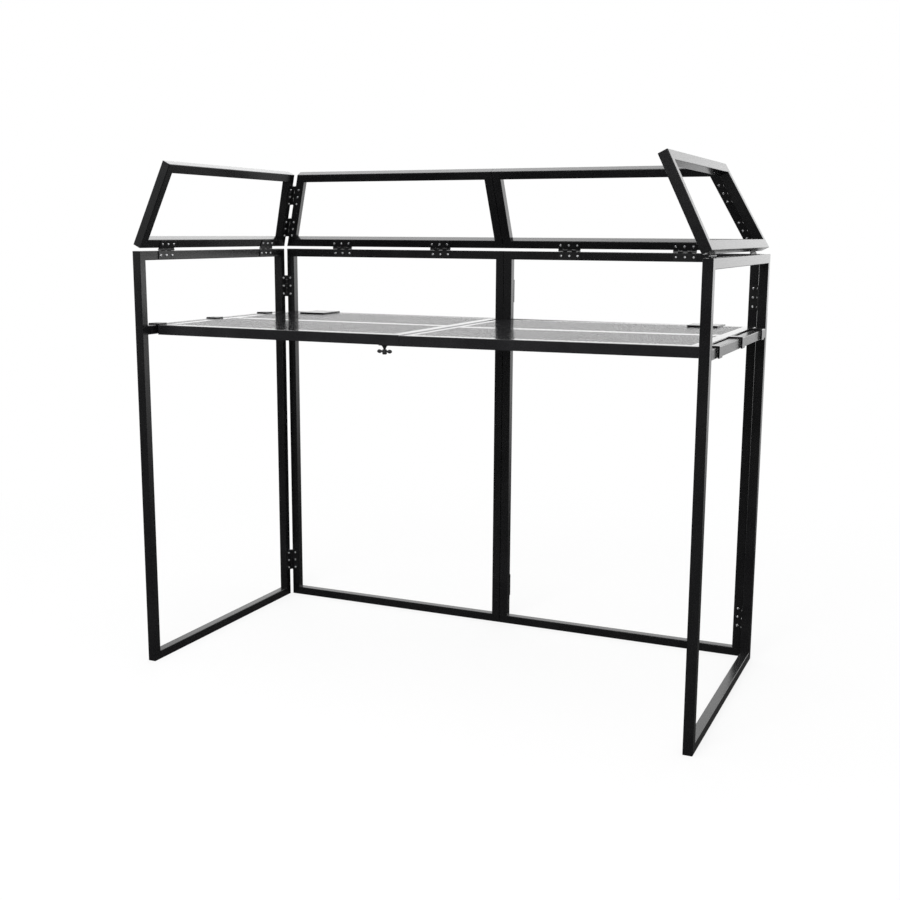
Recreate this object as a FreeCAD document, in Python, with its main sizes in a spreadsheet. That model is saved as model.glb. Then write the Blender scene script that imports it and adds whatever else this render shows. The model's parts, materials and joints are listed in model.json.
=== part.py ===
"""Folding booth frame of square steel tube with a hook-on perforated table.

Millimetres. +X is to the right as the performer sees it, +Y points away from the performer, +Z is up.
The origin is on the floor, under the middle of the whole booth.
"""
import FreeCAD, Part
import math
import os

Vector = FreeCAD.Vector

# Driving dimensions, one row of the sheet each
SIZES = [
    ("tube_side", 25, "outside of the square tube"),
    ("tube_wall", 1.5, "wall of the tube"),
    ("tube_corner", 2, "outer radius of the tube's long edges"),
    ("inner_width", 1530, "between the inner faces of the side frames"),
    ("side_depth", 748, "from the front frames' inner faces to the near ends"),
    ("frame_height", 1165, "height of the lower frames"),
    ("seam_gap", 1, "between the two front frames"),
    ("wing_height", 245, "wings, measured up their slope"),
    ("wing_tilt", 26, "lean of the wings, degrees from upright"),
    ("hinge_gap", 3.5, "from a tube's edge to the pin's axis"),
    ("hinge_length", 68, "length of a leaf"),
    ("leaf_thick", 2, "sheet of the leaves"),
    ("leaf_reach", 26, "from the pin's axis to the leaf's free edge"),
    ("knuckle_radius", 3, "outside of the rolled knuckles"),
    ("knuckle_gap", 0.4, "clearance round each knuckle"),
    ("knuckle_count", 5, "knuckles of the two leaves together"),
    ("pin_radius", 1.6, "hinge pin"),
    ("pin_clearance", 0.05, "pin in its knuckles, on the radius"),
    ("screw_pitch", 25.5, "between the screws of a leaf"),
    ("screw_radius", 2, "shank of the hinge screws"),
    ("screw_length", 8.5, "shank under the head"),
    ("screw_clearance", 0.1, "screw in its holes, on the radius"),
    ("head_radius", 3.5, "pan head of the hinge screws"),
    ("head_height", 2.4, "pan head of the hinge screws"),
    ("recess_length", 4.2, "cross recess, tip to tip"),
    ("recess_width", 1, "arm of the cross recess"),
    ("recess_depth", 1.3, "cross recess"),
    ("corner_hinge_inset", 120, "corner hinges, from the frame's top and bottom"),
    ("side_hinge_inset", 115, "wing hinges, from the ends of a side frame"),
    ("front_hinge_inset", 208, "wing hinges, from the ends of a front frame"),
    ("hip_hinge_inset", 74, "hip hinges, from the ends of a hip post"),
    ("table_drop", 203, "table's top below the top of the lower frames"),
    ("table_setback", 60, "table's front lip behind the near ends"),
    ("table_far_gap", 6, "table's far lip to the front frames"),
    ("table_side_gap", 6, "tray's side to the side frame"),
    ("tray_sheet", 1.5, "sheet of the trays"),
    ("tray_lip", 27, "depth of the folded lips"),
    ("tray_bend", 2.5, "outer radius of the folds"),
    ("right_tray_rise", 4.6, "right tray's outer end above its lap end"),
    ("lap_gap", 0.2, "between the lapped sheets"),
    ("tray_lap", 58, "right tray's reach under the left one"),
    ("lap_shift", 13, "end of the left tray, left of the middle"),
    ("lap_clearance", 0.5, "between the lapped lips"),
    ("perforation_margin", 30, "plain edge round a tray's perforated fields"),
    ("band_width", 28, "plain band between a tray's two fields"),
    ("band_shift", 5, "middle of the plain band behind the tray's middle"),
    ("opening_side", 31, "square openings that stand for the perforation"),
    ("strap_thick", 4, "flat bar of the hook straps"),
    ("strap_width", 34, "side straps"),
    ("hook_drop", 20, "side strap down the tray's side lip"),
    ("strap_pitch", 276, "between the side straps"),
    ("left_strap_first", 6, "first left strap behind the table's front lip"),
    ("right_strap_first", 20, "first right strap behind the table's front lip"),
    ("strap_play", 2, "hook's leg to the crossbar"),
    ("strap_clearance", 0.2, "strap to the tray's lip"),
    ("far_strap_width", 85, "far straps"),
    ("far_strap_land", 70, "far strap on its tray"),
    ("far_strap_place", 625, "far straps' middle, from the booth's middle"),
    ("clamp_place", 61.5, "clamp's axis, left of the middle"),
    ("clamp_setback", 17, "clamp's axis behind the front lip"),
    ("clamp_screw_radius", 3, "clamp screw"),
    ("clamp_clearance", 0.05, "clamp screw in its nut, sleeve and handle, on the radius"),
    ("nut_radius", 7, "weld nut"),
    ("nut_height", 8, "weld nut"),
    ("notch_clearance", 1.5, "notch of the right tray round the weld nut"),
    ("sleeve_head_radius", 11, "thrust sleeve under the right tray"),
    ("sleeve_foot_radius", 4.2, "thrust sleeve at its foot"),
    ("sleeve_height", 31.5, "thrust sleeve"),
    ("sleeve_taper", 10, "tapered foot of the thrust sleeve"),
    ("sleeve_clearance", 0.3, "thrust sleeve to the right tray and round the weld nut"),
    ("shoulder_height", 2, "collar of the screw under the sleeve"),
    ("neck_height", 2.5, "bare screw between the collar and the handle"),
    ("handle_span", 42, "wing handle, tip to tip"),
    ("handle_height", 8, "wings of the handle"),
    ("handle_thick", 7, "wings of the handle"),
    ("handle_round", 3, "rounded edges of the wings"),
    ("hub_radius", 6, "hub of the handle"),
    ("hub_height", 13, "hub of the handle"),
    ("overrun", 5, "cuts run past the faces that they open"),
]

# Values worked out from the driving dimensions, also rows of the sheet
DERIVED = [
    ("half_width", "=inner_width / 2"),
    ("half_seam", "=seam_gap / 2"),
    ("hip_lean", "=atan(sin(wing_tilt)) / 1 deg"),
    ("hip_foot_inset", "=tube_side / tan(45 - hip_lean / 2)"),
    ("hip_head_inset", "=tube_side / tan(45 + hip_lean / 2)"),
    ("hip_length", "=wing_height / cos(hip_lean)"),
    ("hip_run", "=wing_height * sin(wing_tilt)"),
    ("hip_start", "=hinge_gap * sin(wing_tilt) + hinge_gap / cos(hip_lean)"),
    ("side_length", "=side_depth - leaf_thick - hinge_gap"),
    ("front_length", "=half_width - leaf_thick - hinge_gap - half_seam"),
    ("side_wing_length", "=side_depth - leaf_thick - hip_start"),
    ("front_wing_length", "=half_width - leaf_thick - half_seam - hip_start"),
    ("side_bar_length", "=side_length - 2 * tube_side"),
    ("front_bar_length", "=front_length - 2 * tube_side"),
    ("seam_pin_offset", "=knuckle_radius + knuckle_gap"),
    ("knuckle_pitch", "=hinge_length / knuckle_count"),
    ("screw_row", "=hinge_gap + tube_side / 2"),
    ("seam_screw_row", "=half_seam + tube_side / 2"),
    ("table_height", "=frame_height - table_drop"),
    ("table_depth", "=side_depth - table_setback - table_far_gap"),
    ("front_y", "=(side_depth - tube_side - seam_pin_offset - knuckle_radius) / 2"),
    ("table_front_y", "=front_y - side_depth + table_setback"),
    ("lip_inset", "=tray_sheet + lap_clearance"),
    ("left_tray_length", "=half_width - table_side_gap - lap_shift"),
    ("right_tray_length", "=half_width - table_side_gap + lap_shift + tray_lap"),
    ("right_tray_slope", "=right_tray_rise / right_tray_length"),
    ("right_tray_tilt", "=asin(right_tray_slope) / 1 deg"),
    ("right_tray_top", "=table_height - tray_sheet - lap_gap - tray_lap * right_tray_slope"),
    ("far_strap_reach", "=far_strap_place + far_strap_width / 2 + lap_shift + tray_lap"),
    ("far_lift", "=right_tray_top + far_strap_reach * right_tray_slope - table_height"),
    ("sleeve_top", "=right_tray_top - tray_sheet - sleeve_clearance"),
    ("sleeve_foot", "=sleeve_top - sleeve_height"),
    ("handle_top", "=sleeve_foot - shoulder_height - neck_height"),
    ("screw_top", "=table_height - tray_sheet - sleeve_clearance"),
]

ROUND_SHARE = 0.7
OPENING_COLUMNS = 12
OPENING_ROWS = 5
SIDE_STRAPS = 3

doc = FreeCAD.newDocument("booth")
sheet = doc.addObject("Spreadsheet::Sheet", "Sizes")


def fill_sheet():
    """Write the driving dimensions and the values worked out from them."""
    for row, (name, value, note) in enumerate(SIZES, start=1):
        sheet.set(f"A{row}", name)
        sheet.set(f"B{row}", str(value))
        sheet.setAlias(f"B{row}", name)
        sheet.set(f"C{row}", note)
    for row, (name, formula) in enumerate(DERIVED, start=len(SIZES) + 1):
        sheet.set(f"A{row}", name)
        sheet.set(f"B{row}", formula)
        sheet.setAlias(f"B{row}", name)
    doc.recompute()


def size(name):
    """A value of the sheet as a plain number."""
    return float(sheet.get(name))


fill_sheet()


# Small helpers

def bind(obj, **formulas):
    """Bind properties of an object to formulas of the sheet's values."""
    for prop, formula in formulas.items():
        obj.setExpression(prop, formula)
    return obj


def box(name, length, width, height, x="0", y="0", z="0"):
    obj = doc.addObject("Part::Box", name)
    bind(obj, Length=length, Width=width, Height=height)
    for axis, formula in (("x", x), ("y", y), ("z", z)):
        obj.setExpression(f"Placement.Base.{axis}", formula)
    return obj


def cylinder(name, radius, height, x="0", y="0", z="0"):
    obj = doc.addObject("Part::Cylinder", name)
    bind(obj, Radius=radius, Height=height)
    for axis, formula in (("x", x), ("y", y), ("z", z)):
        obj.setExpression(f"Placement.Base.{axis}", formula)
    return obj


def cut(name, base, tool):
    obj = doc.addObject("Part::Cut", name)
    obj.Base = base
    obj.Tool = tool
    return obj


def fuse(name, pieces):
    obj = doc.addObject("Part::MultiFuse", name)
    obj.Shapes = pieces
    obj.Refine = True
    return obj


def compound(name, pieces):
    obj = doc.addObject("Part::Compound", name)
    obj.Links = pieces
    return obj


def fillet(name, base, radius, wanted):
    """Round the edges of a base for which wanted(edge) is true."""
    doc.recompute()
    obj = doc.addObject("Part::Fillet", name)
    obj.Base = base
    picked = [i for i, edge in enumerate(base.Shape.Edges, start=1) if wanted(edge)]
    obj.Edges = [(i, radius, radius) for i in picked]
    return obj


def runs_along(axis):
    """A test for straight edges that run along an axis of the part."""
    def test(edge):
        straight = isinstance(edge.Curve, (Part.Line, Part.LineSegment))
        return straight and abs(edge.tangentAt(edge.FirstParameter).dot(axis)) > math.cos(math.radians(1))
    return test


def placed(origin, x_axis, z_axis):
    """A placement from an origin and two square axes."""
    y_axis = z_axis.cross(x_axis)
    matrix = FreeCAD.Matrix(
        x_axis.x, y_axis.x, z_axis.x, origin.x,
        x_axis.y, y_axis.y, z_axis.y, origin.y,
        x_axis.z, y_axis.z, z_axis.z, origin.z,
        0, 0, 0, 1)
    return FreeCAD.Placement(matrix)


NODES = []


def node(obj, name):
    """Name a finished sub-part after its node."""
    obj.Label = name
    NODES.append(obj)
    return obj


def moved(master, placement):
    """A copy of a finished shape at a placement."""
    copy = master.Shape.copy()
    copy.Placement = placement.multiply(copy.Placement)
    return copy


def gather(name, copies):
    """Finished shapes as one sub-part of separate solids."""
    obj = doc.addObject("Part::Feature", "Group")
    obj.Shape = Part.makeCompound(copies)
    obj.Placement = FreeCAD.Placement()
    return node(obj, name)


def group(name, master, placements):
    """Identical pieces as one sub-part."""
    doc.recompute()
    return gather(name, [moved(master, placement) for placement in placements])


X_AXIS = Vector(1, 0, 0)
Y_AXIS = Vector(0, 1, 0)
Z_AXIS = Vector(0, 0, 1)
SCREWS = []
PINS = []


# Mitred tubes: length along X, from the frame's edge into its window along Y, outwards along Z

def tube(name, length, start_inset, end_inset, placement, holes=(), outer_holes=False):
    """A hollow mitred tube with screw holes at distances along it, in its inner or outer face."""
    bar = doc.addObject("Part::Wedge", "Bar")
    bind(bar, Xmin="0", Ymin="0", Zmin="0", Z2min="0")
    bind(bar, Xmax=length, X2min=start_inset, X2max=f"{length} - {end_inset}")
    bind(bar, Ymax="Sizes.tube_side", Zmax="Sizes.tube_side", Z2max="Sizes.tube_side")
    rounded = fillet("RoundBar", bar, size("tube_corner"), runs_along(X_AXIS))
    inside = "Sizes.tube_side - 2 * Sizes.tube_wall"
    bore = box("Bore", f"{length} + 2 * Sizes.overrun", inside, inside,
               "-Sizes.overrun", "Sizes.tube_wall", "Sizes.tube_wall")
    result = cut("Tube", rounded, bore)
    if holes:
        z = "Sizes.tube_side - Sizes.tube_wall - Sizes.overrun / 2" if outer_holes else "-Sizes.overrun / 2"
        drills = []
        for place in holes:
            drills.append(cylinder("Drill", "Sizes.screw_radius + Sizes.screw_clearance",
                                   "Sizes.tube_wall + Sizes.overrun", place, "Sizes.tube_side / 2", z))
        result = cut("DrilledTube", result, compound("Drills", drills))
    result.Placement = placement
    return node(result, name)


def hinge_holes(*centres):
    """Places of the screws of leaves centred at these formulas."""
    return [f"{centre} + {step} * Sizes.screw_pitch" for centre in centres for step in (-1, 0, 1)]


class Panel:
    """A flat frame: its lower start corner on the inner face, its directions and its outline."""

    def __init__(self, name, origin, along, up, outwards, length, height):
        self.name = name
        self.origin = origin
        self.along = along
        self.up = up
        self.outwards = outwards
        self.length = length
        self.height = height

    def at(self, u, v):
        return self.origin + self.along * u + self.up * v

    def rail(self, piece, start, direction, length, insets, holes=(), outer_holes=False):
        return tube(f"{self.name}_{piece}", length, insets[0], insets[1],
                    placed(start, direction, self.outwards), holes, outer_holes)


def lower_frame(panel, start_post, end_post, start_holes, end_holes, top_holes, seam_post):
    """Four mitred tubes round a rectangle; the post at the middle seam is drilled from outside."""
    square = ("Sizes.tube_side", "Sizes.tube_side")
    u, v = size(panel.length), size(panel.height)
    length, height = f"Sizes.{panel.length}", f"Sizes.{panel.height}"
    panel.rail("bottom_rail", panel.at(0, 0), panel.along, length, square)
    panel.rail(end_post, panel.at(u, 0), panel.up, height, square, end_holes, end_post == seam_post)
    panel.rail("top_rail", panel.at(u, v), -panel.along, length, square, top_holes)
    panel.rail(start_post, panel.at(0, v), -panel.up, height, square, start_holes, start_post == seam_post)


def wing_frame(panel, hip_at_start, hip_holes, foot_holes):
    """Four mitred tubes round a wing that has one slanted end, the hip."""
    side, foot, head = "Sizes.tube_side", "Sizes.hip_foot_inset", "Sizes.hip_head_inset"
    u, v, run = size(panel.length), size(panel.height), size("hip_run")
    length, height = f"Sizes.{panel.length}", f"Sizes.{panel.height}"
    top = f"{length} - Sizes.hip_run"
    if hip_at_start:
        corners = [panel.at(0, 0), panel.at(u, 0), panel.at(u, v), panel.at(run, v)]
        tubes = [("bottom_rail", length, (foot, side), foot_holes), ("end_post", height, (side, side), ()),
                 ("top_rail", top, (side, head), ()),
                 ("hip_post", "Sizes.hip_length", (head, foot), hip_holes)]
    else:
        corners = [panel.at(0, 0), panel.at(u, 0), panel.at(u - run, v), panel.at(0, v)]
        tubes = [("bottom_rail", length, (side, foot), foot_holes),
                 ("hip_post", "Sizes.hip_length", (foot, head), hip_holes),
                 ("top_rail", top, (head, side), ()), ("end_post", height, (side, side), ())]
    for i, (piece, tube_length, insets, holes) in enumerate(tubes):
        start, stop = corners[i], corners[(i + 1) % len(corners)]
        panel.rail(piece, start, (stop - start).normalize(), tube_length, insets, holes)


# Where the frames stand

HALF, DEPTH = size("half_width"), size("side_depth")
FRONT_Y, SEAM = size("front_y"), size("half_seam")
PIN, GAP = size("leaf_thick"), size("hinge_gap")
HEIGHT = size("frame_height")
TILT = math.radians(size("wing_tilt"))

LOWER = {
    "left_side": Panel("left_side", Vector(-HALF, FRONT_Y - PIN - GAP, 0), -Y_AXIS, Z_AXIS, -X_AXIS,
                       "side_length", "frame_height"),
    "front_left": Panel("front_left", Vector(-SEAM, FRONT_Y, 0), -X_AXIS, Z_AXIS, Y_AXIS,
                        "front_length", "frame_height"),
    "front_right": Panel("front_right", Vector(HALF - PIN - GAP, FRONT_Y, 0), -X_AXIS, Z_AXIS, Y_AXIS,
                         "front_length", "frame_height"),
    "right_side": Panel("right_side", Vector(HALF, FRONT_Y - DEPTH, 0), Y_AXIS, Z_AXIS, X_AXIS,
                        "side_length", "frame_height"),
}

# The pins of a corner, of its two wings and of their hip all meet in one point
LEFT_POINT = Vector(-HALF + PIN, FRONT_Y - PIN, HEIGHT + GAP)
RIGHT_POINT = Vector(HALF - PIN, FRONT_Y - PIN, HEIGHT + GAP)


def wing(name, point, away, outwards, length, hip_at_start):
    """A wing panel that leans inwards about the pin line through a corner's point."""
    up = Z_AXIS * math.cos(TILT) - outwards * math.sin(TILT)
    normal = outwards * math.cos(TILT) + Z_AXIS * math.sin(TILT)
    start = size("hip_start") if hip_at_start else size("hip_start") + size(length)
    origin = point + away * start + up * GAP + normal * PIN
    along = away if hip_at_start else -away
    return Panel(name, origin, along, up, normal, length, "wing_height")


WINGS = {
    "left_wing": wing("left_wing", LEFT_POINT, -Y_AXIS, -X_AXIS, "side_wing_length", True),
    "front_left_wing": wing("front_left_wing", LEFT_POINT, X_AXIS, Y_AXIS, "front_wing_length", False),
    "front_right_wing": wing("front_right_wing", RIGHT_POINT, -X_AXIS, Y_AXIS, "front_wing_length", True),
    "right_wing": wing("right_wing", RIGHT_POINT, -Y_AXIS, X_AXIS, "side_wing_length", False),
}


def build_lower_frames():
    post = hinge_holes("Sizes.corner_hinge_inset", "Sizes.frame_height - Sizes.corner_hinge_inset")
    side_top = hinge_holes("Sizes.side_hinge_inset", "Sizes.side_length - Sizes.side_hinge_inset")
    front_top = hinge_holes("Sizes.front_hinge_inset", "Sizes.front_length - Sizes.front_hinge_inset")
    lower_frame(LOWER["left_side"], "far_post", "near_post", post, (), side_top, None)
    lower_frame(LOWER["front_left"], "seam_post", "corner_post", post, post, front_top, "seam_post")
    lower_frame(LOWER["front_right"], "corner_post", "seam_post", post, post, front_top, "seam_post")
    lower_frame(LOWER["right_side"], "near_post", "far_post", (), post, side_top, None)


def build_crossbars():
    """A square-ended bar at table height in each lower frame."""
    foot = size("table_height") - size("tube_side")
    for name, panel in LOWER.items():
        length = "Sizes.side_bar_length" if "side" in name else "Sizes.front_bar_length"
        panel.rail("crossbar", panel.at(size("tube_side"), foot), panel.along, length, ("0", "0"))


def build_wings():
    hip = hinge_holes("Sizes.hip_hinge_inset", "Sizes.hip_length - Sizes.hip_hinge_inset")
    for name, panel in WINGS.items():
        at_start = name in ("left_wing", "front_right_wing")
        inset = "Sizes.front_hinge_inset" if "front" in name else "Sizes.side_hinge_inset"
        from_hip = f"Sizes.hinge_gap + {inset} - Sizes.hip_start"
        if at_start:
            foot = hinge_holes(from_hip, f"Sizes.{panel.length} - {inset}")
        else:
            foot = hinge_holes(inset, f"Sizes.{panel.length} - ({from_hip})")
        wing_frame(panel, at_start, hip, foot)


# Hinges: pin along Z, leaf along X, the tube's face square to Y

def leaf(name, own_knuckles, offset, row):
    """A leaf whose mounting face lies at an offset from the pin's axis."""
    clear = "Sizes.knuckle_radius + Sizes.knuckle_gap"
    low = "-Sizes.hinge_length / 2"
    sheet_y = f"{offset} - Sizes.leaf_thick"
    pieces = [box("Plate", f"Sizes.leaf_reach - ({clear})", "Sizes.leaf_thick", "Sizes.hinge_length",
                  clear, sheet_y, low)]
    for i in own_knuckles:
        start = f"{low} + {i} * Sizes.knuckle_pitch + Sizes.knuckle_gap / 2"
        height = "Sizes.knuckle_pitch - Sizes.knuckle_gap"
        pieces.append(box("Tab", clear, "Sizes.leaf_thick", height, "0", sheet_y, start))
        pieces.append(cylinder("Knuckle", "Sizes.knuckle_radius", height, "0", "0", start))
    body = fuse("Leaf", pieces)
    bore = cylinder("PinBore", "Sizes.pin_radius + Sizes.pin_clearance",
                    "Sizes.hinge_length + 2 * Sizes.overrun", "0", "0", f"{low} - Sizes.overrun")
    drills = []
    for step in (-1, 0, 1):
        drill = cylinder("LeafDrill", "Sizes.screw_radius + Sizes.screw_clearance",
                         "Sizes.leaf_thick + Sizes.overrun", row, f"{sheet_y} - Sizes.overrun / 2",
                         f"{step} * Sizes.screw_pitch")
        drill.Placement.Rotation = FreeCAD.Rotation(Z_AXIS, Y_AXIS)
        drills.append(drill)
    return cut(name, body, compound("LeafTools", [bore] + drills))


def hinge_screw():
    """Pan-head screw with a cross recess: head below the origin, shank up along Z."""
    head = cylinder("Head", "Sizes.head_radius", "Sizes.head_height", "0", "0", "-Sizes.head_height")
    crown = -size("head_height")
    dome = fillet("Dome", head, size("head_height") * ROUND_SHARE,
                  lambda edge: edge.Closed and abs(edge.CenterOfMass.z - crown) < size("head_height") / 2)
    shank = cylinder("Shank", "Sizes.screw_radius", "Sizes.screw_length")
    solid = fuse("ScrewBlank", [dome, shank])
    arms = []
    for length, width in (("recess_length", "recess_width"), ("recess_width", "recess_length")):
        arms.append(box("Arm", f"Sizes.{length}", f"Sizes.{width}", "Sizes.recess_depth + Sizes.overrun",
                        f"-Sizes.{length} / 2", f"-Sizes.{width} / 2",
                        "-Sizes.head_height - Sizes.overrun"))
    return cut("HingeScrew", solid, fuse("Recess", arms))


def mount_leaves(centre, x_axis, into_tube, offset, row):
    """The placement of one leaf, with its three screws noted for the shared node."""
    z_axis = x_axis.cross(into_tube)
    for step in (-1, 0, 1):
        head_seat = centre + x_axis * row + into_tube * (offset - size("leaf_thick"))
        head_seat += z_axis * (step * size("screw_pitch"))
        SCREWS.append(placed(head_seat, x_axis, into_tube))
    return placed(centre, x_axis, z_axis)


def note_pin(centre, axis, across):
    PINS.append(placed(centre, across, axis))


def build_hinges():
    inner = {"wide": leaf("WideLeaf", (0, 2, 4), "Sizes.leaf_thick", "Sizes.screw_row"),
             "narrow": leaf("NarrowLeaf", (1, 3), "Sizes.leaf_thick", "Sizes.screw_row")}
    outer = {"wide": leaf("WideSeamLeaf", (0, 2, 4), "Sizes.seam_pin_offset", "Sizes.seam_screw_row"),
             "narrow": leaf("NarrowSeamLeaf", (1, 3), "Sizes.seam_pin_offset", "Sizes.seam_screw_row")}
    row = size("screw_row")
    levels = (size("corner_hinge_inset"), HEIGHT - size("corner_hinge_inset"))

    side_leaves, front_leaves = [], []
    for point, side in ((LEFT_POINT, -1), (RIGHT_POINT, 1)):
        for level in levels:
            centre = Vector(point.x, point.y, level)
            side_leaves.append(mount_leaves(centre, -Y_AXIS, X_AXIS * side, PIN, row))
            front_leaves.append(mount_leaves(centre, X_AXIS * -side, Y_AXIS, PIN, row))
            note_pin(centre, Z_AXIS, X_AXIS)
    group("corner_hinge_side_leaves", inner["narrow"], side_leaves)
    group("corner_hinge_front_leaves", inner["wide"], front_leaves)

    lower_leaves, wing_leaves = [], []
    for name, panel in LOWER.items():
        wing_panel = WINGS[name.replace("_side", "") + "_wing"]
        inset = size("side_hinge_inset" if "side" in name else "front_hinge_inset")
        for u in (inset, size(panel.length) - inset):
            centre = panel.at(u, HEIGHT) + Z_AXIS * GAP - panel.outwards * PIN
            lower_leaves.append(mount_leaves(centre, -Z_AXIS, panel.outwards, PIN, row))
            wing_leaves.append(mount_leaves(centre, wing_panel.up, wing_panel.outwards, PIN, row))
            note_pin(centre, panel.along, Z_AXIS)
    group("wing_hinge_lower_leaves", inner["narrow"], lower_leaves)
    group("wing_hinge_upper_leaves", inner["wide"], wing_leaves)

    lean = math.radians(size("hip_lean"))
    first = GAP * math.cos(lean) + size("hip_start") * math.sin(lean)
    reaches = (first + size("hip_hinge_inset"), first + size("hip_length") - size("hip_hinge_inset"))
    hip_side_leaves, hip_front_leaves = [], []
    for point, side_name, front_name, inwards in ((LEFT_POINT, "left_wing", "front_left_wing", X_AXIS),
                                                  (RIGHT_POINT, "right_wing", "front_right_wing", -X_AXIS)):
        side, front = WINGS[side_name], WINGS[front_name]
        axis = side.up * math.cos(lean) - Y_AXIS * math.sin(lean)
        side_in = -Y_AXIS * math.cos(lean) - side.up * math.sin(lean)
        front_in = inwards * math.cos(lean) - front.up * math.sin(lean)
        for reach in reaches:
            centre = point + axis * reach
            hip_side_leaves.append(mount_leaves(centre, side_in, side.outwards, PIN, row))
            hip_front_leaves.append(mount_leaves(centre, front_in, front.outwards, PIN, row))
            note_pin(centre, axis, side_in)
    group("hip_hinge_side_leaves", inner["narrow"], hip_side_leaves)
    group("hip_hinge_front_leaves", inner["wide"], hip_front_leaves)

    seam_left, seam_right = [], []
    offset, seam_row = size("seam_pin_offset"), size("seam_screw_row")
    for level in levels:
        centre = Vector(0, FRONT_Y + size("tube_side") + offset, level)
        seam_left.append(mount_leaves(centre, -X_AXIS, -Y_AXIS, offset, seam_row))
        seam_right.append(mount_leaves(centre, X_AXIS, -Y_AXIS, offset, seam_row))
        note_pin(centre, Z_AXIS, X_AXIS)
    group("seam_hinge_left_leaves", outer["narrow"], seam_left)
    group("seam_hinge_right_leaves", outer["wide"], seam_right)

    pin = cylinder("HingePin", "Sizes.pin_radius", "Sizes.hinge_length", "0", "0", "-Sizes.hinge_length / 2")
    group("hinge_pins", pin, PINS)
    group("hinge_screws", hinge_screw(), SCREWS)


# Table: two folded trays, the left one lapping over the right

def tray(name, length, depth, open_at_left):
    """A tray with its top at zero height, lips folded down on three sides, open at the lap."""
    block = box("TrayBlock", length, depth, "Sizes.tray_lip", "0", "0", "-Sizes.tray_lip")
    rounded = fillet("TrayRound", block, size("tray_bend"), upper_fold(open_at_left, length, 0))
    inside_x = "-Sizes.overrun" if open_at_left else "Sizes.tray_sheet"
    inside = box("TrayInside", f"{length} - Sizes.tray_sheet + Sizes.overrun",
                 f"{depth} - 2 * Sizes.tray_sheet", "Sizes.tray_lip", inside_x, "Sizes.tray_sheet",
                 "-Sizes.tray_lip - Sizes.tray_sheet")
    inner_round = size("tray_bend") - size("tray_sheet")
    hollow = fillet("TrayHollow", inside, inner_round, upper_fold(open_at_left, length, -size("tray_sheet")))
    return cut(name, rounded, hollow)


def upper_fold(open_at_left, length, level):
    """A test for the top edges that are folds: all of them but the one at the lap."""
    whole = size(length.replace("Sizes.", ""))
    lap = 0 if open_at_left else whole

    def test(edge):
        middle = edge.CenterOfMass
        at_top = abs(middle.z - level) < size("tray_sheet") / 2
        at_lap = abs(middle.x - lap) < size("tray_lap") / 2
        return at_top and not at_lap
    return test


def evenly(start, stop, count):
    """Formulas of the lower edges of openings spread evenly from start to stop."""
    pitch = f"({stop} - ({start})) / {count}"
    return [f"{start} + ({2 * i + 1} * {pitch} - Sizes.opening_side) / 2" for i in range(count)]


def perforated(name, blank, length, depth, start, stop):
    """A tray with a plain grid of openings, in two fields, in place of its fine holes."""
    side, tall, foot = "Sizes.opening_side", "2 * Sizes.overrun", "-Sizes.overrun"
    margin, half_band = "Sizes.perforation_margin", "Sizes.band_width / 2"
    middle = f"({depth}) / 2 + Sizes.band_shift"
    columns = [box("OpeningColumn", side, depth, tall, x, "0", foot)
               for x in evenly(start, stop, OPENING_COLUMNS)]
    places = evenly(margin, f"{middle} - {half_band}", OPENING_ROWS)
    places += evenly(f"{middle} + {half_band}", f"{depth} - {margin}", OPENING_ROWS)
    rows = [box("OpeningRow", length, side, tall, "0", y, foot) for y in places]
    grid = doc.addObject("Part::Common", "Openings")
    grid.Base = compound("OpeningColumns", columns)
    grid.Tool = compound("OpeningRows", rows)
    return cut(name, blank, grid)


def build_table():
    margin = "Sizes.perforation_margin"
    length, depth = "Sizes.left_tray_length", "Sizes.table_depth"
    blank = tray("LeftBlank", length, depth, False)
    left = perforated("LeftTray", blank, length, depth, margin, f"{length} - {margin}")
    left.Placement.Base = Vector(-HALF + size("table_side_gap"), size("table_front_y"), size("table_height"))
    node(left, "left_tray")

    length, depth = "Sizes.right_tray_length", "Sizes.table_depth - 2 * Sizes.lip_inset"
    start = f"Sizes.tray_lap + {margin}"
    blank = tray("RightBlank", length, depth, True)
    blank = perforated("RightTray", blank, length, depth, start, f"{length} - {margin}")
    reach = "Sizes.tray_lap + Sizes.lap_shift - Sizes.clamp_place"
    half_notch = "Sizes.nut_radius + Sizes.notch_clearance"
    across = "Sizes.clamp_setback - Sizes.lip_inset"
    slot = box("NotchSlot", f"{reach} + Sizes.overrun", f"2 * ({half_notch})", "2 * Sizes.overrun",
               "-Sizes.overrun", f"{across} - ({half_notch})", "-Sizes.overrun")
    end = cylinder("NotchEnd", half_notch, "2 * Sizes.overrun", reach, across, "-Sizes.overrun")
    right = cut("NotchedTray", blank, fuse("Notch", [slot, end]))
    lap_end = -size("lap_shift") - size("tray_lap")
    corner = Vector(lap_end, size("table_front_y") + size("lip_inset"), size("right_tray_top"))
    right.Placement = FreeCAD.Placement(corner, FreeCAD.Rotation(Y_AXIS, -size("right_tray_tilt")))
    node(right, "right_tray")


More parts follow.
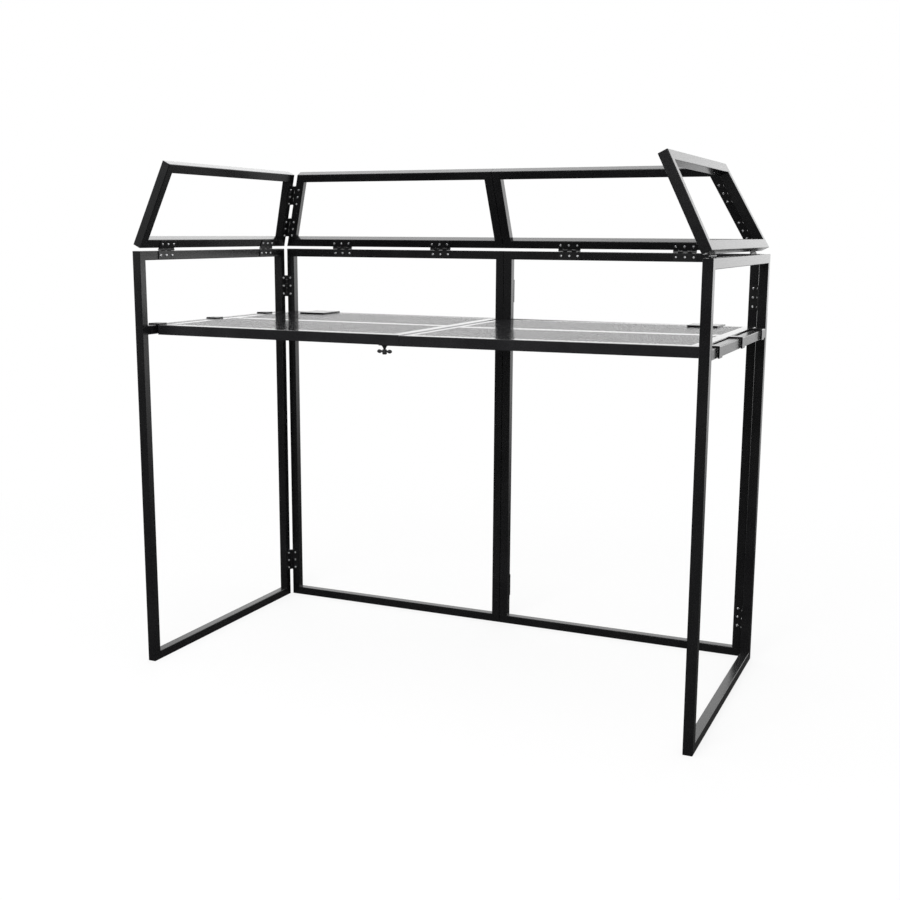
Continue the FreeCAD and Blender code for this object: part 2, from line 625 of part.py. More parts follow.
def strap(name, gap, width, joined):
    """A bent strap along X: from its joined end over the gap and the crossbar, and down the far face.

    Its origin is at the height of the crossbar's top, at the tray's edge.
    """
    reach = f"{gap} + Sizes.tube_side + Sizes.strap_play"
    half = f"-({width}) / 2"
    thick, start = "Sizes.strap_thick", "Sizes.strap_clearance"
    pieces = [box("Bridge", f"{reach} + {thick} - {start}", width, thick, start, half),
              box("Leg", thick, width, f"Sizes.tube_side + {thick}", reach, half, "-Sizes.tube_side"), joined]
    blank = fuse(name + "Blank", pieces)
    doc.recompute()
    crown = Vector(blank.Shape.BoundBox.XMax, 0, size("strap_thick"))
    across = runs_along(Y_AXIS)

    def outer_bend(edge):
        middle = edge.CenterOfMass
        near = abs(middle.x - crown.x) + abs(middle.z - crown.z) < size("strap_thick") / 2
        return across(edge) and near
    return fillet(name, blank, size("strap_thick") * ROUND_SHARE, outer_bend)


def side_hook():
    """A strap with an inner leg on the tray's side lip."""
    width, thick = "Sizes.strap_width", "Sizes.strap_thick"
    inner = box("InnerLeg", thick, width, f"Sizes.hook_drop + {thick}", "Sizes.strap_clearance",
                f"-{width} / 2", "-Sizes.hook_drop")
    return strap("SideStrap", "Sizes.table_side_gap", width, inner)


def far_strap(gap, lift):
    """A wide strap with a land on the tray, which is higher than the crossbar by the lift."""
    width, land = "Sizes.far_strap_width", "Sizes.far_strap_land"
    plate = box("Land", f"{land} + {gap}", width, "Sizes.strap_thick", f"-{land}", f"-{width} / 2", lift)
    return strap("FarStrap", gap, width, plate)


def build_straps():
    edge = HALF - size("table_side_gap")
    top = size("table_height")
    far_edge = FRONT_Y - size("table_far_gap")
    hook = side_hook()
    for side, name in ((-1, "left"), (1, "right")):
        on_right = side > 0
        inset, lift = ("Sizes.lip_inset", "Sizes.far_lift") if on_right else ("0", "0")
        plate = far_strap(f"Sizes.table_far_gap + {inset}", lift)
        doc.recompute()
        first = size("table_front_y") + size(f"{name}_strap_first") + size("strap_width") / 2
        copies = []
        for i in range(SIDE_STRAPS):
            place = Vector(side * edge, first + i * size("strap_pitch"), top)
            copies.append(moved(hook, placed(place, X_AXIS * side, Z_AXIS)))
        far_y = far_edge - (size("lip_inset") if on_right else 0)
        place = placed(Vector(side * size("far_strap_place"), far_y, top), Y_AXIS, Z_AXIS)
        copies.append(moved(plate, place))
        gather(f"{name}_hook_straps", copies)


# Clamp: upright axis at the lap of the trays

def build_clamp():
    x = "-Sizes.clamp_place"
    y = "Sizes.table_front_y + Sizes.clamp_setback"
    hole = "Sizes.clamp_screw_radius + Sizes.clamp_clearance"
    under = "Sizes.table_height - Sizes.tray_sheet"

    nut_z = f"{under} - Sizes.nut_height"
    nut = cylinder("NutBlank", "Sizes.nut_radius", "Sizes.nut_height", x, y, nut_z)
    nut_bore = cylinder("NutBore", hole, "Sizes.nut_height + 2 * Sizes.overrun", x, y,
                        f"{nut_z} - Sizes.overrun")
    node(cut("Nut", nut, nut_bore), "clamp_nut")

    cone = doc.addObject("Part::Cone", "SleeveCone")
    bind(cone, Radius1="Sizes.sleeve_foot_radius", Radius2="Sizes.sleeve_head_radius")
    bind(cone, Height="Sizes.sleeve_taper")
    for axis, formula in (("x", x), ("y", y), ("z", "Sizes.sleeve_foot")):
        cone.setExpression(f"Placement.Base.{axis}", formula)
    sleeve_bore = cylinder("SleeveBore", hole, "Sizes.sleeve_height + 2 * Sizes.overrun", x, y,
                           "Sizes.sleeve_foot - Sizes.overrun")
    pocket_floor = f"{nut_z} - Sizes.sleeve_clearance"
    pocket = cylinder("NutPocket", "Sizes.nut_radius + Sizes.sleeve_clearance", "Sizes.nut_height", x, y,
                      pocket_floor)
    head = cylinder("SleeveHead", "Sizes.sleeve_head_radius", "Sizes.sleeve_height - Sizes.sleeve_taper",
                    x, y, "Sizes.sleeve_foot + Sizes.sleeve_taper")
    blank = fuse("SleeveBlank", [cone, head])
    node(cut("Sleeve", blank, fuse("SleeveTools", [sleeve_bore, pocket])), "clamp_sleeve")

    shank = cylinder("ClampShank", "Sizes.clamp_screw_radius",
                     "Sizes.screw_top - Sizes.handle_top + Sizes.hub_height / 2", x, y,
                     "Sizes.handle_top - Sizes.hub_height / 2")
    collar = cylinder("ClampCollar", "Sizes.sleeve_foot_radius", "Sizes.shoulder_height", x, y,
                      "Sizes.sleeve_foot - Sizes.shoulder_height")
    node(fuse("ClampScrew", [shank, collar]), "clamp_screw")

    hub = cylinder("Hub", "Sizes.hub_radius", "Sizes.hub_height", x, y, "Sizes.handle_top - Sizes.hub_height")
    bar = box("WingBar", "Sizes.handle_span", "Sizes.handle_thick", "Sizes.handle_height",
              f"{x} - Sizes.handle_span / 2", f"{y} - Sizes.handle_thick / 2",
              "Sizes.handle_top - Sizes.handle_height")
    tips = fillet("WingTips", bar, size("handle_round"), runs_along(Y_AXIS))
    socket = cylinder("HandleSocket", hole, "Sizes.hub_height", x, y,
                      "Sizes.handle_top - Sizes.hub_height / 2 - Sizes.clamp_clearance")
    node(cut("Handle", fuse("HandleBlank", [hub, tips]), socket), "clamp_handle")


build_lower_frames()
build_crossbars()
build_wings()
build_hinges()
build_table()
build_straps()
build_clamp()
doc.recompute()

# Every object has to be sound before anything is written
for obj in doc.Objects:
    if "Invalid" in obj.State or "Error" in obj.State:
        raise RuntimeError(f"{obj.Name} failed: {obj.State}")
for obj in NODES:
    if obj.Shape.isNull() or not obj.Shape.isValid():
        raise RuntimeError(f"{obj.Label} has no sound shape")

os.makedirs("parts", exist_ok=True)
for obj in NODES:
    obj.Shape.exportStep(f"parts/{obj.Label}.step")
print(f"{len(NODES)} nodes")
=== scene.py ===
"""Looks of the folding booth: powder-coated tube, perforated trays, zinc screws, a clamp, studio and camera.

Metres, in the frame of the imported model: +X to the performer's right, +Y to the audience, +Z up.
"""
import json
import math

import bmesh
import bpy
from mathutils import Matrix, Vector


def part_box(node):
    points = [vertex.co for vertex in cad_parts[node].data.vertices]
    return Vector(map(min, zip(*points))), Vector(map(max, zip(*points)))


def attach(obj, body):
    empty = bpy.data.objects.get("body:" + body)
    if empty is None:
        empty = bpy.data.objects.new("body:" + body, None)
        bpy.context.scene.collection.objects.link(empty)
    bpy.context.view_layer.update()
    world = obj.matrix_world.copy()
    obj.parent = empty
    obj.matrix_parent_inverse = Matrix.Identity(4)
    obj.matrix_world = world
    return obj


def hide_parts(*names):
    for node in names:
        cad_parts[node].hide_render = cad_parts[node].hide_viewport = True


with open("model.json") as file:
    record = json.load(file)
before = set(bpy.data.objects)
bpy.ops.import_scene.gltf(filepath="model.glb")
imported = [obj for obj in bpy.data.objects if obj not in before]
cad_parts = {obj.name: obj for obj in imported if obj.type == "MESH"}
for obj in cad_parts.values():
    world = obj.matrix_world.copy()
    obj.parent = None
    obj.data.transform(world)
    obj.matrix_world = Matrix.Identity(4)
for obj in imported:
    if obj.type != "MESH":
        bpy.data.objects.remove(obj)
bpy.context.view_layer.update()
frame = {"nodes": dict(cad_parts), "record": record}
MM = 0.001


# Objects

def add_object(name, data):
    """An object of the scene with this data."""
    obj = bpy.data.objects.new(name, data)
    bpy.context.scene.collection.objects.link(obj)
    return obj


def add_mesh(name, mesh):
    """A finished mesh as an object of the scene."""
    data = bpy.data.meshes.new(name)
    mesh.to_mesh(data)
    mesh.free()
    return add_object(name, data)


def paint(obj, material):
    """Give an object one finish."""
    obj.data.materials.clear()
    obj.data.materials.append(material)


# Patterns for finishes

NOISE_LOW, NOISE_HIGH = 0.3, 0.7
TONE_LOW, TONE_HIGH = 0.35, 0.65


def new_material(name):
    """A material, with its tree, its shader and the object's own coordinates."""
    material = bpy.data.materials.new(name)
    material.use_nodes = True
    tree = material.node_tree
    shader = tree.nodes["Principled BSDF"]
    coords = tree.nodes.new("ShaderNodeTexCoord")
    return material, tree, shader, coords.outputs["Object"]


def noise(tree, coords, scale, detail):
    """A noise pattern with this many features to the metre."""
    node = tree.nodes.new("ShaderNodeTexNoise")
    node.inputs["Scale"].default_value = scale
    node.inputs["Detail"].default_value = detail
    tree.links.new(coords, node.inputs["Vector"])
    return node.outputs["Fac"]


def spread(tree, value, low, high, start=NOISE_LOW, stop=NOISE_HIGH):
    """Map a value from start to stop, the usual span of a noise pattern, onto low to high."""
    node = tree.nodes.new("ShaderNodeMapRange")
    node.inputs["From Min"].default_value = start
    node.inputs["From Max"].default_value = stop
    node.inputs["To Min"].default_value = low
    node.inputs["To Max"].default_value = high
    tree.links.new(value, node.inputs["Value"])
    return node.outputs["Result"]


def two_tone(tree, value, tones):
    """A colour that runs from the first tone to the second along a pattern."""
    ramp = tree.nodes.new("ShaderNodeValToRGB")
    for element, place, tone in zip(ramp.color_ramp.elements, (TONE_LOW, TONE_HIGH), tones):
        element.position = place
        element.color = (*tone, 1)
    tree.links.new(value, ramp.inputs["Fac"])
    return ramp.outputs["Color"]


def relief(tree, shader, heights):
    """Chain bumps, each a pattern with its depth in metres."""
    normal = None
    for value, depth in heights:
        bump = tree.nodes.new("ShaderNodeBump")
        bump.inputs["Strength"].default_value = 1.0
        bump.inputs["Distance"].default_value = depth
        tree.links.new(value, bump.inputs["Height"])
        if normal is not None:
            tree.links.new(normal, bump.inputs["Normal"])
        normal = bump.outputs["Normal"]
    tree.links.new(normal, shader.inputs["Normal"])


# Finishes: each pattern has its features to the metre and its detail, each tone is linear red, green and blue

COAT_DRIFT = (9.0, 4.0)
COAT_SKIN = (420.0, 2.0)
COAT_GRIT = (2400.0, 2.0)
GRIT_SHARE = 0.25
SMOOTHER, ROUGHER = 0.05, 0.06
METAL_PATCHES = (300.0, 4.0)
METAL_SCRATCHES = (5200.0, 2.0)
SCRATCH_DEPTH = 0.01 * MM
PLASTIC_DRIFT = (60.0, 3.0)
PLASTIC_GRAIN = (3200.0, 2.0)
GRAIN_DEPTH = 0.03 * MM

DEEP_BLACK = ((0.004, 0.004, 0.0045), (0.007, 0.007, 0.0075))
TRAY_BLACK = ((0.010, 0.010, 0.011), (0.015, 0.015, 0.016))
SLEEVE_BLACK = ((0.009, 0.009, 0.010), (0.014, 0.014, 0.015))
PLASTIC_BLACK = ((0.010, 0.010, 0.011), (0.018, 0.018, 0.019))
ZINC_GREY = ((0.78, 0.79, 0.80), (0.91, 0.91, 0.92))
# Painted highlight: a light steel grey for the sheet's cut rims, standing in for the light that catches those
# edges
EDGE_HIGHLIGHT_GREY = ((0.42, 0.42, 0.43), (0.58, 0.58, 0.59))


def powder_coat(name, tones, roughness, peel):
    """Black powder coat: orange peel with small changes of gloss, fine grit, and slow drifts of shade."""
    material, tree, shader, coords = new_material(name)
    drift = noise(tree, coords, *COAT_DRIFT)
    skin = noise(tree, coords, *COAT_SKIN)
    grit = noise(tree, coords, *COAT_GRIT)
    sheen = spread(tree, skin, roughness - SMOOTHER, roughness + ROUGHER)
    tree.links.new(two_tone(tree, drift, tones), shader.inputs["Base Color"])
    tree.links.new(sheen, shader.inputs["Roughness"])
    relief(tree, shader, ((skin, peel), (grit, peel * GRIT_SHARE)))
    return material


def metal(name, tones, roughness):
    """Bare or plated metal with fine scratches and dull patches."""
    material, tree, shader, coords = new_material(name)
    patches = noise(tree, coords, *METAL_PATCHES)
    scratches = noise(tree, coords, *METAL_SCRATCHES)
    tree.links.new(two_tone(tree, patches, tones), shader.inputs["Base Color"])
    tree.links.new(spread(tree, patches, *roughness), shader.inputs["Roughness"])
    shader.inputs["Metallic"].default_value = 1.0
    relief(tree, shader, ((scratches, SCRATCH_DEPTH),))
    return material


def moulded_plastic(name, tones, roughness):
    """Moulded plastic with a fine spark-eroded grain."""
    material, tree, shader, coords = new_material(name)
    drift = noise(tree, coords, *PLASTIC_DRIFT)
    grain = noise(tree, coords, *PLASTIC_GRAIN)
    tree.links.new(two_tone(tree, drift, tones), shader.inputs["Base Color"])
    tree.links.new(spread(tree, grain, *roughness), shader.inputs["Roughness"])
    relief(tree, shader, ((grain, GRAIN_DEPTH),))
    return material


TUBE_COAT = powder_coat("tube_coat", DEEP_BLACK, roughness=0.24, peel=0.01 * MM)
TRAY_COAT = powder_coat("tray_coat", TRAY_BLACK, roughness=0.13, peel=0.003 * MM)
WEB_COAT = powder_coat("web_coat", TRAY_BLACK, roughness=0.16, peel=0.004 * MM)
STRAP_COAT = powder_coat("strap_coat", DEEP_BLACK, roughness=0.22, peel=0.01 * MM)
HINGE_PAINT = powder_coat("hinge_paint", DEEP_BLACK, roughness=0.30, peel=0.01 * MM)
SLEEVE_PAINT = powder_coat("sleeve_paint", SLEEVE_BLACK, roughness=0.40, peel=0.02 * MM)
ZINC = metal("zinc", ZINC_GREY, roughness=(0.32, 0.44))
# Painted highlight: the trays' cut rims are light bare metal, so the lap end reads as a lit line and not a
# dark one
EDGE_HIGHLIGHT_METAL = metal("painted_edge_highlight", EDGE_HIGHLIGHT_GREY, roughness=(0.30, 0.45))
HANDLE_PLASTIC = moulded_plastic("handle_plastic", PLASTIC_BLACK, roughness=(0.42, 0.58))

FINISHES = {"tube": TUBE_COAT, "tray": TRAY_COAT, "strap": STRAP_COAT, "hinge": HINGE_PAINT,
            "sleeve": SLEEVE_PAINT, "zinc": ZINC, "handle": HANDLE_PLASTIC}


def dress_nodes():
    """Give each CAD node the finish of its slot."""
    for subpart in frame["record"]["subparts"]:
        paint(frame["nodes"][subpart["node"]], FINISHES[subpart["material_slot"]])


# Perforated trays

SHEET = 1.5 * MM
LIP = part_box("left_tray")[1].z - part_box("left_tray")[0].z
FOLD_RADIUS = 2.5 * MM
FOLD_STEPS = 4
HOLE_PITCH = 9.7 * MM
COLUMN_PITCH = HOLE_PITCH * math.sin(math.radians(60))
HOLE_RADIUS = 3.9 * MM
HOLE_SIDES = 6
EDGE_MARGIN = 30 * MM
FAR_MARGIN = 10 * MM
BAND_WIDTH = 28 * MM
BAND_SHIFT = 5 * MM
LAP_VISIBLE_MARGIN = 27 * MM
NOTCH_HALF = 8.5 * MM
NOTCH_STEPS = 8

# Places in the trays' list of finishes. The rim of a face takes the finish that is CUT_EDGE places after its
# own, so the plain sheet's rim gets a painted highlight of light grey metal and the holes keep the coat of
# the web between them.
PLAIN, WEB, CUT_EDGE = 0, 1, 2
TRAY_FINISHES = (TRAY_COAT, WEB_COAT, EDGE_HIGHLIGHT_METAL, WEB_COAT)


class Tray:
    """The upper skin of a tray in the plane of its sheet: s from the lap end outwards, y to the audience."""

    def __init__(self, node, lap_at_right, lap_margin):
        self.low, self.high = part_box(node)
        self.mesh = bmesh.new()
        self.lap_at_right = lap_at_right
        width, rise = self.high.x - self.low.x, self.high.z - self.low.z - LIP
        self.sin = rise / width
        self.cos = math.sqrt(1 - self.sin ** 2)
        self.length = width - LIP * self.sin
        self.lap_margin = lap_margin
        self.known = {}

    def vertex(self, s, y, z=0.0):
        """The vertex at a place of the sheet, z above its top, made once."""
        key = (round(s / MM, 3), round(y / MM, 3), round(z / MM, 3))
        if key not in self.known:
            run = s * self.cos - z * self.sin
            x = self.high.x - run if self.lap_at_right else self.low.x + run
            height = self.high.z - (self.length - s) * self.sin + z * self.cos
            self.known[key] = self.mesh.verts.new((x, y, height))
        return self.known[key]

    def face(self, vertices, finish=PLAIN):
        """A face that looks up or outwards; its vertices run anticlockwise in s and y, without repeats."""
        loop = list(dict.fromkeys(vertices))
        made = self.mesh.faces.new(loop[::-1] if self.lap_at_right else loop)
        made.material_index = finish

    def cell(self, s, y, half_s, half_y):
        """A rectangle with a hole; its border has a vertex for each one of the hole."""
        ring = [(1, 0), (1, 1), (-1, 1), (-1, 0), (-1, -1), (1, -1)]
        border = [self.vertex(s + a * half_s, y + b * half_y) for a, b in ring]
        hole = []
        for i in range(HOLE_SIDES):
            turn = 2 * math.pi * i / HOLE_SIDES
            hole.append(self.vertex(s + HOLE_RADIUS * math.cos(turn), y + HOLE_RADIUS * math.sin(turn)))
        for i in range(HOLE_SIDES):
            j = (i + 1) % HOLE_SIDES
            self.face((border[i], border[j], hole[j], hole[i]), WEB)

    def field(self, s0, columns, y0, rows):
        """Staggered holes; returns the vertices of the front, far, lap and outer sides, and the far y."""
        half_s, half_y = COLUMN_PITCH / 2, HOLE_PITCH / 2
        s1, y1 = s0 + columns * COLUMN_PITCH, y0 + rows * HOLE_PITCH
        for column in range(columns):
            s = s0 + (2 * column + 1) * half_s
            odd = column % 2
            for row in range(rows - odd):
                self.cell(s, y0 + (2 * row + 1 + odd) * half_y, half_s, half_y)
            if odd:
                for low, high in ((y0, y0 + half_y), (y1 - half_y, y1)):
                    places = ((s - half_s, low), (s + half_s, low), (s + half_s, high), (s - half_s, high))
                    self.face([self.vertex(*place) for place in places], WEB)
        across = [s0 + i * COLUMN_PITCH for i in range(columns + 1)]
        along = [y0 + i * half_y for i in range(2 * rows + 1)]
        fronts, fars = ([self.vertex(s, y) for s in across] for y in (y0, y1))
        laps, outers = ([self.vertex(s, y) for y in along] for s in (s0, s1))
        return fronts, fars, laps, outers, y1

    def sheet(self, notch=()):
        """The flat top: margins, two perforated fields and the plain band between them."""
        front, far = self.low.y + FOLD_RADIUS, self.high.y - FOLD_RADIUS
        end = self.length - FOLD_RADIUS
        s0 = self.lap_margin
        columns = int((self.length - EDGE_MARGIN - s0) / COLUMN_PITCH)
        band = (self.low.y + self.high.y) / 2 + BAND_SHIFT
        starts = (self.low.y + EDGE_MARGIN, band + BAND_WIDTH / 2)
        stops = (band - BAND_WIDTH / 2, self.high.y - FAR_MARGIN)
        below = [self.vertex(0, front), self.vertex(end, front)]
        lap_steps = notch
        for start, stop in zip(starts, stops):
            rows = int((stop - start) / HOLE_PITCH)
            fronts, fars, laps, outers, y1 = self.field(s0, columns, start, rows)
            lap_edge = [self.vertex(s, y) for s, y in lap_steps]
            strip = below + [self.vertex(end, start)] + fronts[::-1] + [self.vertex(0, start)] + lap_edge
            self.face(strip)
            self.face([self.vertex(0, start)] + laps + [self.vertex(0, y1)])
            self.face([self.vertex(end, y1)] + outers[::-1] + [self.vertex(end, start)])
            below = [self.vertex(0, y1)] + fars + [self.vertex(end, y1)]
            lap_steps = ()
        self.face(below + [self.vertex(end, far), self.vertex(0, far)])

    def lips(self):
        """The folded lips along the front, the outer side and the far edge, in one run of rings."""
        turns = [math.radians(90) * i / FOLD_STEPS for i in range(FOLD_STEPS + 1)]
        steps = [(FOLD_RADIUS * math.sin(a), FOLD_RADIUS * (math.cos(a) - 1)) for a in turns]
        steps.append((FOLD_RADIUS, -LIP))
        rings = []
        for out, z in steps:
            s = self.length - FOLD_RADIUS + out
            y0, y1 = self.low.y + FOLD_RADIUS - out, self.high.y - FOLD_RADIUS + out
            corners = ((0, y0), (s, y0), (s, y1), (0, y1))
            rings.append([self.vertex(*corner, z) for corner in corners])
        for inner, outer in zip(rings, rings[1:]):
            for i in range(len(inner) - 1):
                self.face((outer[i], outer[i + 1], inner[i + 1], inner[i]))

    def finish(self, name, node):
        """The skin as an object with the sheet's thickness below it."""
        self.mesh.normal_update()
        obj = add_mesh(name, self.mesh)
        thick = obj.modifiers.new("thickness", "SOLIDIFY")
        thick.thickness = SHEET
        thick.offset = -1.0
        thick.use_even_offset = True
        thick.material_offset_rim = CUT_EDGE
        for finish in TRAY_FINISHES:
            obj.data.materials.append(finish)
        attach(obj, "table")
        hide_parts(node)


def clamp_notch(tray):
    """The outline of the notch round the weld nut, from its far mouth to its near mouth."""
    low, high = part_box("clamp_nut")
    y = (low.y + high.y) / 2
    s = (low.x + high.x) / 2 - tray.low.x
    places = [(0, y + NOTCH_HALF)]
    for i in range(NOTCH_STEPS + 1):
        turn = math.radians(90 - 180 * i / NOTCH_STEPS)
        places.append((s + NOTCH_HALF * math.cos(turn), y + NOTCH_HALF * math.sin(turn)))
    places.append((0, y - NOTCH_HALF))
    return places


def make_trays():
    """The left tray, and the right one with its lapped end and the clamp's notch under the left one."""
    left = Tray("left_tray", True, LAP_VISIBLE_MARGIN)
    left.sheet()
    left.lips()
    left.finish("left_perforated_tray", "left_tray")

    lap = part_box("left_tray")[1].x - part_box("right_tray")[0].x
    right = Tray("right_tray", False, lap + LAP_VISIBLE_MARGIN)
    right.sheet(clamp_notch(right))
    right.lips()
    right.finish("right_perforated_tray", "right_tray")


# Wing knob of the clamp

KNOB_SIDES = 20
LOBE_PLACE = 14.5 * MM
LOBE_REACH = 6.5 * MM
LOBE_HALF_HEIGHT = 5 * MM
LOBE_HALF_THICK = 3.4 * MM
LOBE_LEVEL = 5.2 * MM
TIP_SHARE = 0.995
WAIST_HALF_HEIGHT = 2.6 * MM
HUB_RADIUS = 6 * MM
HUB_EDGE = 2 * MM
HUB_STEPS = 4


def ring_skin(mesh, rings):
    """Join rings of points into a closed skin with flat ends."""
    loops = [[mesh.verts.new(p) for p in ring] for ring in rings]
    for first, second in zip(loops, loops[1:]):
        for i in range(len(first)):
            j = (i + 1) % len(first)
            mesh.faces.new((first[i], first[j], second[j], second[i]))
    mesh.faces.new(loops[0][::-1])
    mesh.faces.new(loops[-1])


def lobe_half_height(t):
    """Half the height of the wings at a distance from the axis: a waist that swells into a round lobe."""
    inside = max(0.0, 1 - ((abs(t) - LOBE_PLACE) / LOBE_REACH) ** 2)
    lobe = LOBE_HALF_HEIGHT * math.sqrt(inside)
    return max(lobe, WAIST_HALF_HEIGHT) if abs(t) < LOBE_PLACE else lobe


def make_knob():
    """A moulded wing knob: a rounded hub and two lobes on narrow waists."""
    low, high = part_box("clamp_handle")
    axis = Vector(((low.x + high.x) / 2, (low.y + high.y) / 2, 0))
    turns = [2 * math.pi * i / KNOB_SIDES for i in range(KNOB_SIDES)]
    mesh = bmesh.new()

    tip = LOBE_PLACE + LOBE_REACH * TIP_SHARE
    steps = [tip * math.sin(math.pi / 2 * i / KNOB_SIDES) for i in range(-KNOB_SIDES, KNOB_SIDES + 1)]
    wings = []
    for t in steps:
        half = lobe_half_height(t)
        thick = LOBE_HALF_THICK * math.sqrt(half / LOBE_HALF_HEIGHT)
        middle = axis + Vector((t, 0, high.z - LOBE_LEVEL))
        wings.append([middle + Vector((0, thick * math.cos(a), half * math.sin(a))) for a in turns])
    ring_skin(mesh, wings)

    corner = [math.pi / 2 * i / HUB_STEPS for i in range(HUB_STEPS + 1)]
    bends = [(HUB_EDGE * (1 - math.sin(a)), HUB_EDGE * (1 - math.cos(a))) for a in corner]
    profile = [(HUB_RADIUS - inwards, low.z + up) for inwards, up in bends]
    profile += [(HUB_RADIUS - inwards, high.z - down) for down, inwards in bends]
    hub = []
    for radius, z in profile:
        hub.append([axis + Vector((radius * math.cos(a), radius * math.sin(a), z)) for a in turns])
    ring_skin(mesh, hub)

    bmesh.ops.recalc_face_normals(mesh, faces=mesh.faces)
    knob = add_mesh("wing_knob", mesh)
    # The round sides are made of quads, and only the flat ends have more corners
    faces = knob.data.polygons
    faces.foreach_set("use_smooth", [len(face.vertices) == 4 for face in faces])
    paint(knob, HANDLE_PLASTIC)
    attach(knob, "clamp_screw")
    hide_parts("clamp_handle")


# Stage and light: in gloss the room is dim up to the near value of Y and white from the far one on. For the
# world this is the Y of a direction, for the floor it is in metres.

WORLD_LIGHT = 0.55
ROOM_DIM = 0.07
WORLD_NEAR, WORLD_FAR = -1.0, 0.2
FLOOR_NEAR, FLOOR_FAR = 1.5, 6.0
FLOOR_SIZE = 60.0
FLOOR_WHITE = 0.9
SHADOW_SHARE = 0.18
SHADOW_NEAR, SHADOW_FAR = 1.2, 3.0


def combine(tree, operation, first, second):
    """The result of a math node on two values."""
    node = tree.nodes.new("ShaderNodeMath")
    node.operation = operation
    tree.links.new(first, node.inputs[0])
    tree.links.new(second, node.inputs[1])
    return node.outputs[0]


def ray(tree, kind):
    """One for rays of this kind, and zero for the rest."""
    return tree.nodes.new("ShaderNodeLightPath").outputs[f"Is {kind} Ray"]


def seen_directly(tree):
    """One for rays from the camera, off gloss or through glass, and zero for light that falls on things."""
    total = combine(tree, "MAXIMUM", ray(tree, "Camera"), ray(tree, "Glossy"))
    return combine(tree, "MAXIMUM", total, ray(tree, "Transmission"))


def room_strength(tree, vector, near, far):
    """One for rays from the camera; for the rest it rises along Y, from dim at near to one at far."""
    parts = tree.nodes.new("ShaderNodeSeparateXYZ")
    tree.links.new(vector, parts.inputs[0])
    room = spread(tree, parts.outputs["Y"], ROOM_DIM, 1.0, near, far)
    return combine(tree, "MAXIMUM", ray(tree, "Camera"), room)


def bare_tree(owner, output):
    """The emptied node tree of a world or a material, and its new output."""
    owner.use_nodes = True
    tree = owner.node_tree
    tree.nodes.clear()
    return tree, tree.nodes.new(output)


def blend(tree, share, lit, seen, output):
    """Mix the lit shader with the seen one, which has this share, into the output."""
    mix = tree.nodes.new("ShaderNodeMixShader")
    tree.links.new(share, mix.inputs["Fac"])
    tree.links.new(lit.outputs[0], mix.inputs[1])
    tree.links.new(seen.outputs[0], mix.inputs[2])
    tree.links.new(mix.outputs[0], output.inputs["Surface"])


def make_world():
    """White where it is seen, a soft grey dome where it lights, dimmer in gloss on the performer's side."""
    world = bpy.data.worlds.new("studio")
    bpy.context.scene.world = world
    tree, output = bare_tree(world, "ShaderNodeOutputWorld")
    lit = tree.nodes.new("ShaderNodeBackground")
    seen = tree.nodes.new("ShaderNodeBackground")
    for node in (lit, seen):
        node.inputs["Color"].default_value = (1, 1, 1, 1)
    lit.inputs["Strength"].default_value = WORLD_LIGHT
    direction = tree.nodes.new("ShaderNodeTexCoord").outputs["Generated"]
    tree.links.new(room_strength(tree, direction, WORLD_NEAR, WORLD_FAR), seen.inputs["Strength"])
    blend(tree, seen_directly(tree), lit, seen, output)


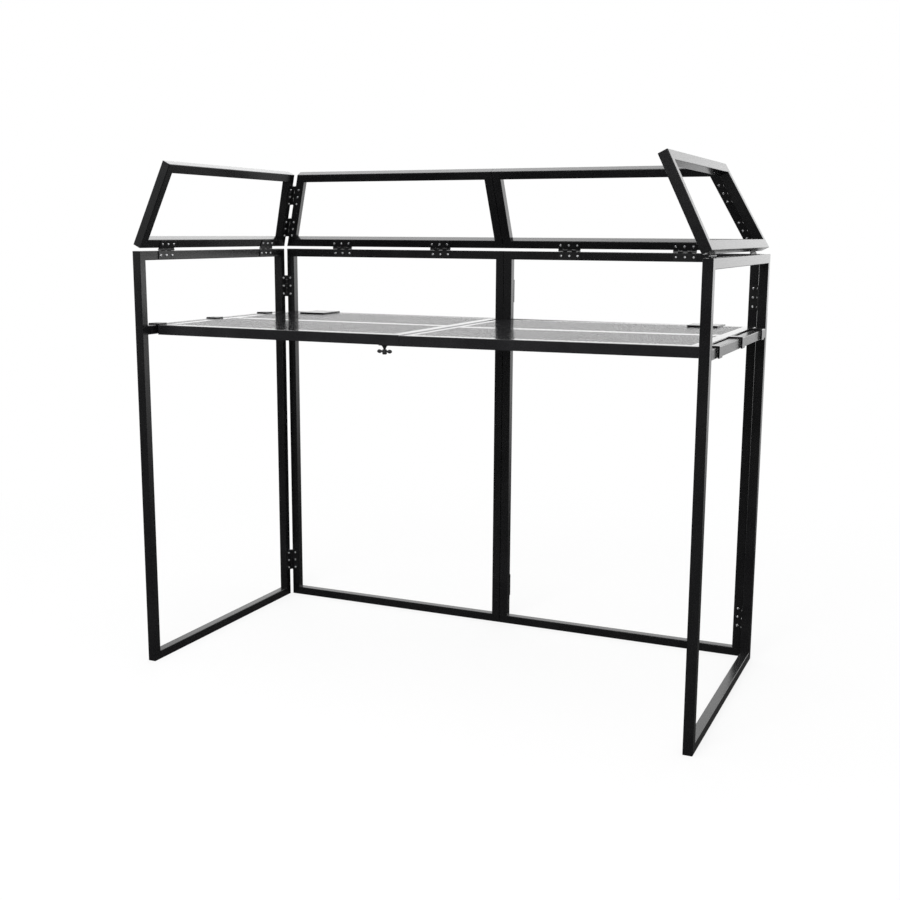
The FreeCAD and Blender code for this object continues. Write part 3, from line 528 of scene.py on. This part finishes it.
def make_floor():
    """A white floor that keeps a faint shadow near the object, and in gloss is bright only far behind it."""
    bpy.ops.mesh.primitive_plane_add(size=FLOOR_SIZE, location=(0, 0, 0))
    floor = bpy.context.object
    floor.name = "studio_floor"
    material = bpy.data.materials.new("floor_white")
    tree, output = bare_tree(material, "ShaderNodeOutputMaterial")
    matt = tree.nodes.new("ShaderNodeBsdfDiffuse")
    matt.inputs["Color"].default_value = (FLOOR_WHITE, FLOOR_WHITE, FLOOR_WHITE, 1)
    white = tree.nodes.new("ShaderNodeEmission")
    place = tree.nodes.new("ShaderNodeNewGeometry").outputs["Position"]
    tree.links.new(room_strength(tree, place, FLOOR_NEAR, FLOOR_FAR), white.inputs["Strength"])
    distance = tree.nodes.new("ShaderNodeVectorMath")
    distance.operation = "LENGTH"
    tree.links.new(place, distance.inputs[0])
    shadow = spread(tree, distance.outputs["Value"], SHADOW_SHARE, 0.0, SHADOW_NEAR, SHADOW_FAR)
    kept = combine(tree, "MULTIPLY", ray(tree, "Camera"), shadow)
    blend(tree, combine(tree, "SUBTRACT", seen_directly(tree), kept), matt, white, output)
    paint(floor, material)


# Each softbox has its name, place, width and height in metres, and power in watts
SOFTBOXES = (
    ("back_softbox", (-1.4, 3.2, 3.7), (4.0, 2.6), 60),
    ("low_back_softbox", (-1.7, 5.0, 1.5), (5.0, 1.2), 9),
    ("right_softbox", (1.9, 4.0, 1.9), (2.6, 2.4), 19),
    ("top_softbox", (0.3, -0.3, 4.2), (3.0, 2.4), 40),
    ("left_fill", (-3.6, -2.6, 2.2), (2.0, 2.0), 10),
    ("key_softbox", (0.3, -3.4, 3.2), (2.6, 1.6), 100),
)
LIGHT_TARGET = Vector((0, 0, 0.9))


def light_studio():
    """Softboxes that point at the booth and that the camera doesn't see."""
    for name, place, size, power in SOFTBOXES:
        lamp = bpy.data.lights.new(name, "AREA")
        lamp.shape = "RECTANGLE"
        lamp.size, lamp.size_y = size
        lamp.energy = power
        softbox = add_object(name, lamp)
        softbox.location = place
        softbox.rotation_euler = (LIGHT_TARGET - Vector(place)).to_track_quat("-Z", "Y").to_euler()
        softbox.visible_camera = False


# Camera: angles in radians, lens and sensor in millimetres

CAMERA_PLACE = (1.3593, -3.0968, 1.2167)
CAMERA_YAW, CAMERA_PITCH, CAMERA_ROLL = 0.41763, 0.17641, 0.00499
CAMERA_LENS = 48.62
CAMERA_SENSOR = 36.0


def make_camera():
    """The photograph's view: yaw left of +Y, pitch down, and a slight roll."""
    data = bpy.data.cameras.new("camera")
    data.lens = CAMERA_LENS
    data.sensor_width = CAMERA_SENSOR
    camera = add_object("camera", data)
    turn = Matrix.Rotation(CAMERA_YAW, 4, "Z") @ Matrix.Rotation(math.pi / 2 - CAMERA_PITCH, 4, "X")
    turn = turn @ Matrix.Rotation(CAMERA_ROLL, 4, "Z")
    camera.matrix_world = Matrix.Translation(CAMERA_PLACE) @ turn
    bpy.context.scene.camera = camera


dress_nodes()
make_trays()
make_knob()
make_world()
make_floor()
light_studio()
make_camera()
bpy.context.scene.view_settings.view_transform = "Standard"
